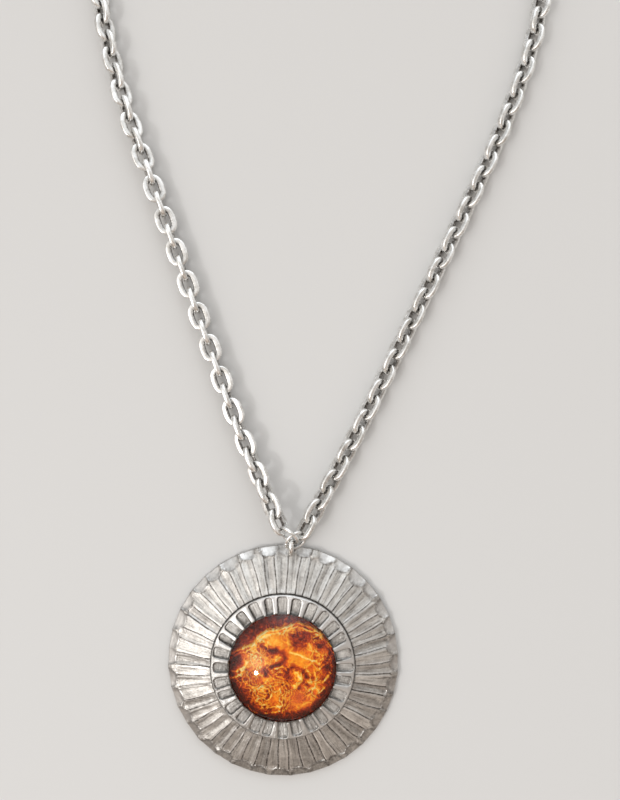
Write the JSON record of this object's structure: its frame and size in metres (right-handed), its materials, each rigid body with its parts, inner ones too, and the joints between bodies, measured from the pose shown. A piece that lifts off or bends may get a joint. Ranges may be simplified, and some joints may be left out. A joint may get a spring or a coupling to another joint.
{
  "type": "pendant necklace",
  "caption": "Pendant necklace with a fluted, scalloped round pendant, a domed amber-coloured stone in a pocketed collar, an oval-link chain and a spring-ring clasp.",
  "frame": {"origin": "centre of the pendant's flat back", "axes": "+Z out of the pendant's face, +Y from the pendant's centre towards the bail and the chain"},
  "size_m": [0.2051, 0.2826, 0.0096],
  "materials": {
    "pewter": "matte cast pewter, dark in the grooves",
    "silver": "bright silver plate",
    "stone": "clear amber glass",
    "foil": "crinkled gold foil"
  },
  "bodies": {
    "pendant": {"pendant_disc": "pewter", "bezel_collar": "pewter", "foil_backing": "foil", "cabochon": "stone", "bail": "silver"},
    "left_ring": {"bail_ring_left": "silver"},
    "right_ring": {"bail_ring_right": "silver"},
    "left_chain_1": {"left_chain_1": "silver"},
    "left_chain_2": {"left_chain_2": "silver"},
    "left_chain_3": {"left_chain_3": "silver"},
    "left_chain_4": {"left_chain_4": "silver"},
    "left_chain_5": {"left_chain_5": "silver"},
    "left_chain_6": {"left_chain_6": "silver"},
    "left_chain_7": {"left_chain_7": "silver"},
    "left_chain_8": {"left_chain_8": "silver"},
    "left_chain_9": {"left_chain_9": "silver"},
    "left_chain_10": {"left_chain_10": "silver"},
    "left_chain_11": {"left_chain_11": "silver"},
    "left_chain_12": {"left_chain_12": "silver"},
    "left_chain_13": {"left_chain_13": "silver"},
    "right_chain_1": {"right_chain_1": "silver"},
    "right_chain_2": {"right_chain_2": "silver"},
    "right_chain_3": {"right_chain_3": "silver"},
    "right_chain_4": {"right_chain_4": "silver"},
    "right_chain_5": {"right_chain_5": "silver"},
    "right_chain_6": {"right_chain_6": "silver"},
    "right_chain_7": {"right_chain_7": "silver"},
    "right_chain_8": {"right_chain_8": "silver"},
    "right_chain_9": {"right_chain_9": "silver"},
    "right_chain_10": {"right_chain_10": "silver"},
    "right_chain_11": {"right_chain_11": "silver"},
    "right_chain_12": {"right_chain_12": "silver"},
    "right_chain_13": {"right_chain_13": "silver"},
    "clasp_ring": {"clasp_jump_ring": "silver"},
    "clasp": {"clasp_case": "silver", "clasp_spring": "silver"},
    "bolt": {"clasp_bolt": "silver"},
    "tag_ring": {"tag_jump_ring": "silver"},
    "tag": {"end_tag": "silver"}
  },
  "joints": [
    {"name": "left_ring_swing", "type": "hinge", "parent": "pendant", "child": "left_ring", "pos_m": [0.00178, 0.02685, 0.00387], "axis": [-0.2686, -0.756, 0.5969], "range_deg": [-25, 25]},
    {"name": "left_bend_1", "type": "hinge", "parent": "left_ring", "child": "left_chain_1", "pos_m": [-0.00056, 0.02922, 0.00444], "axis": [-0.3206, -0.3738, -0.8703], "range_deg": [-20, 45]},
    {"name": "left_bend_2", "type": "hinge", "parent": "left_chain_1", "child": "left_chain_2", "pos_m": [-0.00769, 0.04618, 0.00261], "axis": [-0.3766, -0.1036, 0.9206], "range_deg": [-60, 60]},
    {"name": "left_bend_3", "type": "hinge", "parent": "left_chain_2", "child": "left_chain_3", "pos_m": [-0.01406, 0.06323, 0.00233], "axis": [0.9391, 0.3373, 0.0663], "range_deg": [-60, 60]},
    {"name": "left_bend_4", "type": "hinge", "parent": "left_chain_3", "child": "left_chain_4", "pos_m": [-0.02013, 0.08039, 0.00226], "axis": [0.0005, -0.0014, -1], "range_deg": [-60, 40]},
    {"name": "left_bend_5", "type": "hinge", "parent": "left_chain_4", "child": "left_chain_5", "pos_m": [-0.02617, 0.09756, 0.00226], "axis": [-0.9401, -0.3345, 0.0654], "range_deg": [-60, 60]},
    {"name": "left_bend_6", "type": "hinge", "parent": "left_chain_5", "child": "left_chain_6", "pos_m": [-0.03238, 0.11466, 0.0023], "axis": [0.3588, 0.1332, 0.9239], "range_deg": [-60, 60]},
    {"name": "left_bend_7", "type": "hinge", "parent": "left_chain_6", "child": "left_chain_7", "pos_m": [-0.03743, 0.13214, 0.00214], "axis": [0.7323, 0.1706, -0.6593], "range_deg": [-60, 60]},
    {"name": "left_bend_8", "type": "hinge", "parent": "left_chain_7", "child": "left_chain_8", "pos_m": [-0.04089, 0.15, 0.002], "axis": [-0.6965, -0.1219, -0.7071], "range_deg": [-60, 60]},
    {"name": "left_bend_9", "type": "hinge", "parent": "left_chain_8", "child": "left_chain_9", "pos_m": [-0.0441, 0.16791, 0.00198], "axis": [-0.6912, -0.149, 0.7071], "range_deg": [-60, 60]},
    {"name": "left_bend_10", "type": "hinge", "parent": "left_chain_9", "child": "left_chain_10", "pos_m": [-0.04918, 0.18538, 0.00198], "axis": [0.6706, 0.2244, 0.7071], "range_deg": [-60, 60]},
    {"name": "left_bend_11", "type": "hinge", "parent": "left_chain_10", "child": "left_chain_11", "pos_m": [-0.05615, 0.20219, 0.00198], "axis": [0.6419, 0.2966, -0.7071], "range_deg": [-60, 60]},
    {"name": "left_bend_12", "type": "hinge", "parent": "left_chain_11", "child": "left_chain_12", "pos_m": [-0.06492, 0.21812, 0.00213], "axis": [-0.7281, -0.4323, -0.532], "range_deg": [-60, 60]},
    {"name": "left_bend_13", "type": "hinge", "parent": "left_chain_12", "child": "left_chain_13", "pos_m": [-0.07539, 0.23299, 0.00228], "axis": [-0.2166, -0.1725, 0.9609], "range_deg": [-60, 60]},
    {"name": "clasp_ring_swing", "type": "hinge", "parent": "left_chain_13", "child": "clasp_ring", "pos_m": [-0.08744, 0.24663, 0.00227], "axis": [0.7225, 0.6913, 0], "range_deg": [-60, 60]},
    {"name": "clasp_swing", "type": "hinge", "parent": "clasp_ring", "child": "clasp", "pos_m": [-0.08924, 0.24851, 0.00228], "axis": [0, 0, 1], "range_deg": [-60, 60]},
    {"name": "bolt_slide", "type": "hinge", "parent": "clasp", "child": "bolt", "pos_m": [-0.09377, 0.25325, 0.00138], "axis": [-0.088, 0.092, 0.9919], "range_deg": [0, 52], "stiffness_Nm_per_rad": 0.0002, "springref_deg": -17.19, "deforming": ["clasp_spring"]},
    {"name": "right_ring_swing", "type": "hinge", "parent": "pendant", "child": "right_ring", "pos_m": [0.00178, 0.02649, 0.00418], "axis": [0, -0.8339, 0.5519], "range_deg": [-3, 20]},
    {"name": "right_bend_1", "type": "hinge", "parent": "right_ring", "child": "right_chain_1", "pos_m": [0.0044, 0.02808, 0.00373], "axis": [0.5405, -0.4488, -0.7117], "range_deg": [-45, 45]},
    {"name": "right_bend_2", "type": "hinge", "parent": "right_chain_1", "child": "right_chain_2", "pos_m": [0.01323, 0.04427, 0.00235], "axis": [0.5801, -0.2729, 0.7675], "range_deg": [-60, 60]},
    {"name": "right_bend_3", "type": "hinge", "parent": "right_chain_2", "child": "right_chain_3", "pos_m": [0.02144, 0.06051, 0.00203], "axis": [0.6314, -0.3185, -0.7071], "range_deg": [-60, 60]},
    {"name": "right_bend_4", "type": "hinge", "parent": "right_chain_3", "child": "right_chain_4", "pos_m": [0.02945, 0.07686, 0.00199], "axis": [-0.6359, 0.3093, -0.7071], "range_deg": [-60, 60]},
    {"name": "right_bend_5", "type": "hinge", "parent": "right_chain_4", "child": "right_chain_5", "pos_m": [0.03734, 0.09326, 0.00198], "axis": [-0.6384, 0.3039, 0.7071], "range_deg": [-60, 60]},
    {"name": "right_bend_6", "type": "hinge", "parent": "right_chain_5", "child": "right_chain_6", "pos_m": [0.04502, 0.10975, 0.00198], "axis": [0.6424, -0.2955, 0.7071], "range_deg": [-60, 60]},
    {"name": "right_bend_7", "type": "hinge", "parent": "right_chain_6", "child": "right_chain_7", "pos_m": [0.05173, 0.12667, 0.00198], "axis": [0.665, -0.2403, -0.7071], "range_deg": [-60, 60]},
    {"name": "right_bend_8", "type": "hinge", "parent": "right_chain_7", "child": "right_chain_8", "pos_m": [0.0561, 0.14431, 0.00198], "axis": [-0.6969, 0.1199, -0.7071], "range_deg": [-60, 60]},
    {"name": "right_bend_9", "type": "hinge", "parent": "right_chain_8", "child": "right_chain_9", "pos_m": [0.05841, 0.16236, 0.00198], "axis": [-0.6978, 0.1145, 0.7071], "range_deg": [-60, 60]},
    {"name": "right_bend_10", "type": "hinge", "parent": "right_chain_9", "child": "right_chain_10", "pos_m": [0.06272, 0.18003, 0.00198], "axis": [0.6791, -0.197, 0.7071], "range_deg": [-60, 60]},
    {"name": "right_bend_11", "type": "hinge", "parent": "right_chain_10", "child": "right_chain_11", "pos_m": [0.06911, 0.19706, 0.00198], "axis": [0.6507, -0.2767, -0.7071], "range_deg": [-60, 60]},
    {"name": "right_bend_12", "type": "hinge", "parent": "right_chain_11", "child": "right_chain_12", "pos_m": [0.07749, 0.21321, 0.00213], "axis": [-0.7309, 0.4275, -0.532], "range_deg": [-60, 60]},
    {"name": "right_bend_13", "type": "hinge", "parent": "right_chain_12", "child": "right_chain_13", "pos_m": [0.08773, 0.22824, 0.00228], "axis": [-0.225, 0.1614, 0.9609], "range_deg": [-60, 60]},
    {"name": "tag_ring_swing", "type": "hinge", "parent": "right_chain_13", "child": "tag_ring", "pos_m": [0.0997, 0.24193, 0.00227], "axis": [0.7239, -0.6899, 0], "range_deg": [-60, 60]},
    {"name": "tag_swing", "type": "hinge", "parent": "tag_ring", "child": "tag", "pos_m": [0.1015, 0.24382, 0.00228], "axis": [0, 0, 1], "range_deg": [-55, 55]}
  ]
}
